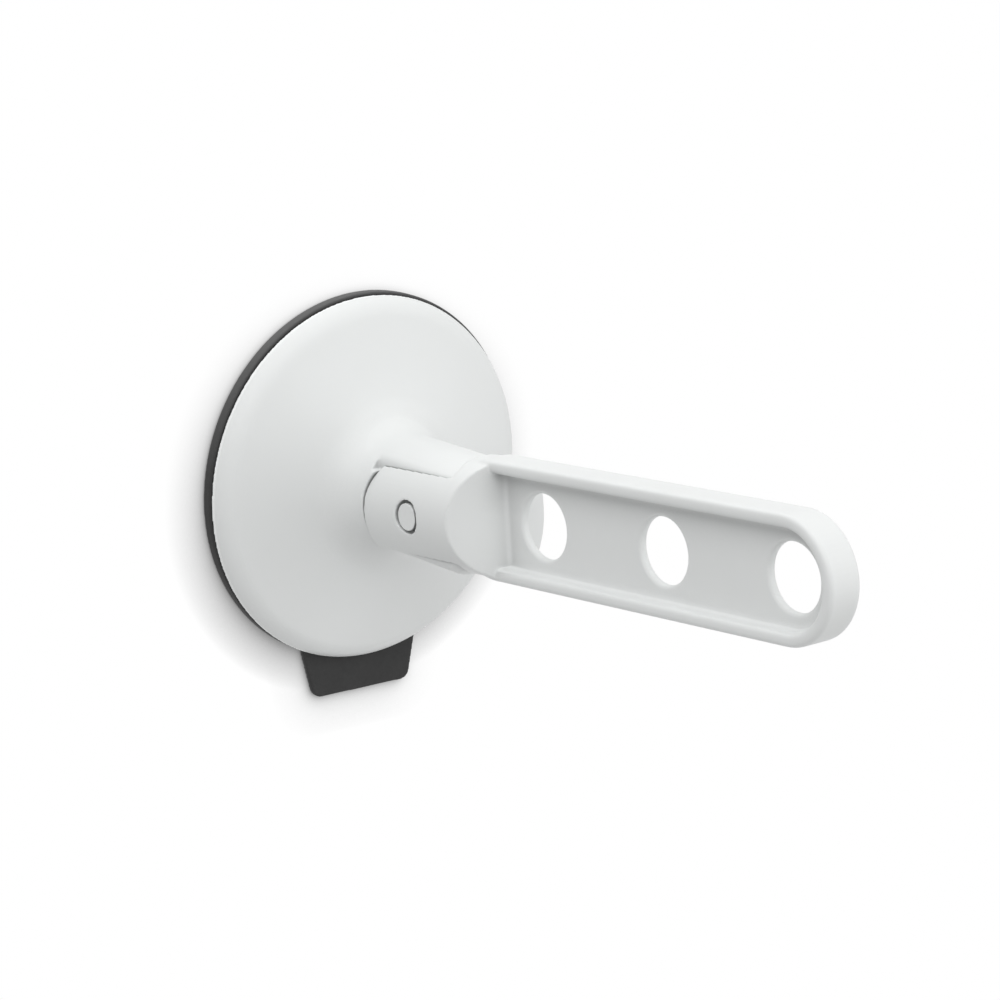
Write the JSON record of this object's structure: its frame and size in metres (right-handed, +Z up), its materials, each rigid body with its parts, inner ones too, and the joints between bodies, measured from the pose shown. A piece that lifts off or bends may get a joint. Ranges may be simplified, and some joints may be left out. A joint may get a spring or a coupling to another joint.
{
  "type": "suction wall hanger arm",
  "caption": "Suction wall arm for clothes hangers: a round rubber suction pad under a domed white cover, with a hinged lever arm pierced by round holes.",
  "frame": {"origin": "centre of the suction pad, on the wall's surface", "axes": "+Y into the wall, -Y out along the arm, +Z up, +X to the right when facing the wall"},
  "size_m": [0.1112, 0.206, 0.1222],
  "materials": {
    "white_plastic": "smooth satin moulded plastic, cool white",
    "dark_rubber": "matte dark grey rubber",
    "steel": "plain zinc plated steel",
    "bearing_bronze": "plain bearing bronze",
    "grey_plastic": "grey engineering plastic"
  },
  "bodies": {
    "housing": {"cover": "white_plastic", "back_plate": "grey_plastic", "plate_screws": "steel", "suction_pad": "dark_rubber", "stem_guide": "grey_plastic", "return_spring": "steel", "hinge_bush_near": "bearing_bronze", "hinge_bush_far": "bearing_bronze"},
    "stem": {"core_insert": "steel", "flange_nut": "steel", "draw_stem": "steel", "follower_pin": "steel", "follower_roller": "bearing_bronze"},
    "arm": {"hanger_arm": "white_plastic", "hinge_pin": "steel", "lock_cam": "steel", "pin_cap_near": "white_plastic", "pin_cap_far": "white_plastic", "friction_washer_near": "grey_plastic", "friction_washer_far": "grey_plastic"}
  },
  "joints": [
    {"name": "arm_fold", "type": "hinge", "parent": "housing", "child": "arm", "pos_m": [0, -0.046, 0], "axis": [-1, 0, 0], "range_deg": [0, 60]},
    {"name": "stem_draw", "type": "slide", "parent": "housing", "child": "stem", "axis": [0, 1, 0], "range_m": [0, 0.004], "deforming": ["suction_pad", "return_spring"]}
  ],
  "couplings": [
    {"joint": "stem_draw", "follows": "arm_fold", "m_per_rad": 0.0038197}
  ]
}
